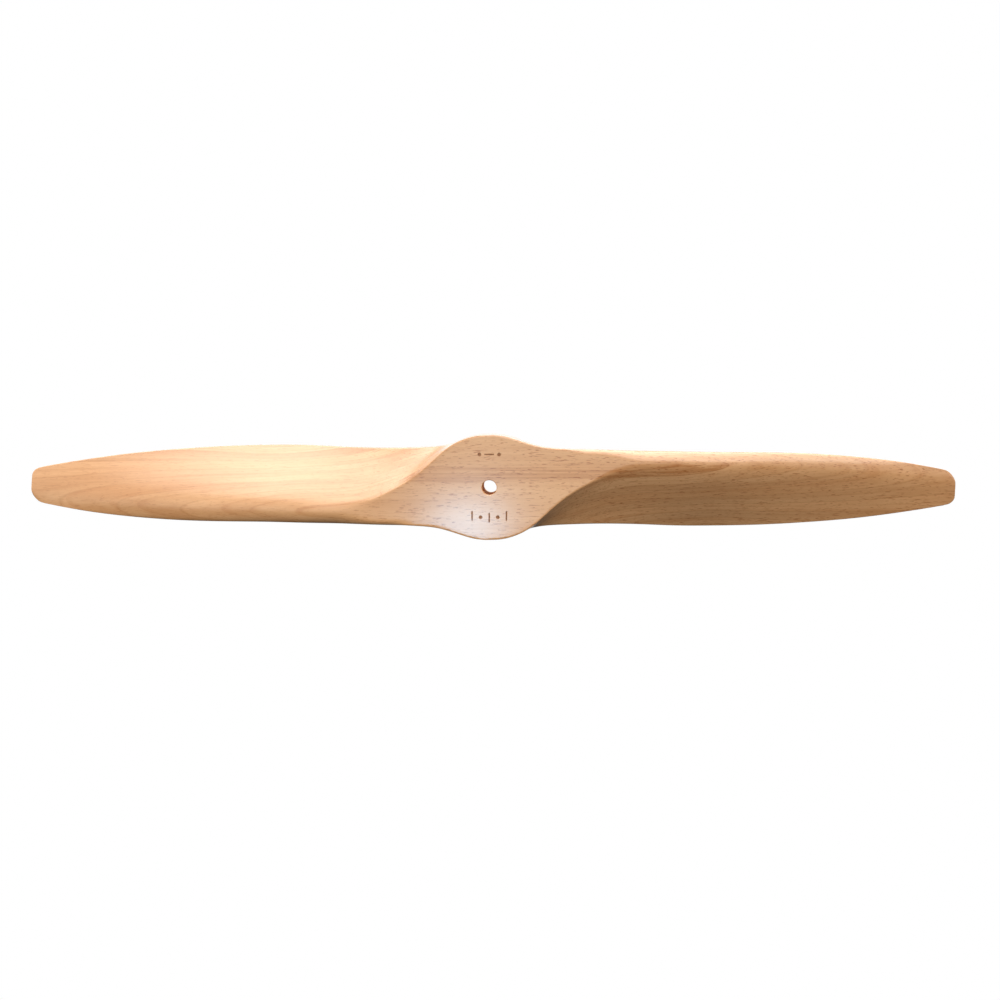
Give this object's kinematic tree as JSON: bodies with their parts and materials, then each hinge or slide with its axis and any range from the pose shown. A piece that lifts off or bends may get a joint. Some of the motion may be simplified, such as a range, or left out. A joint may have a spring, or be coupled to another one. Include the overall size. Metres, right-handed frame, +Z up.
{
  "type": "wooden propeller",
  "caption": "Fixed-pitch tractor propeller carved from laminated beech, with twisted blades, a flat-faced hub and a plain shaft bore.",
  "frame": {"origin": "on the bore's axis, in the plane of the rear mounting face", "axes": "+X along the blade whose leading edge is uppermost, +Y along the bore from the front face to the rear face, +Z up"},
  "size_m": [0.762, 0.045, 0.0858],
  "materials": {
    "beech": "clear satin varnish over steamed beech"
  },
  "bodies": {
    "root": {"rear_face_lamination": "beech", "lamination_2": "beech", "lamination_3": "beech", "lamination_4": "beech", "lamination_5": "beech", "lamination_6": "beech", "lamination_7": "beech", "lamination_8": "beech", "front_face_lamination": "beech"}
  },
  "joints": []
}
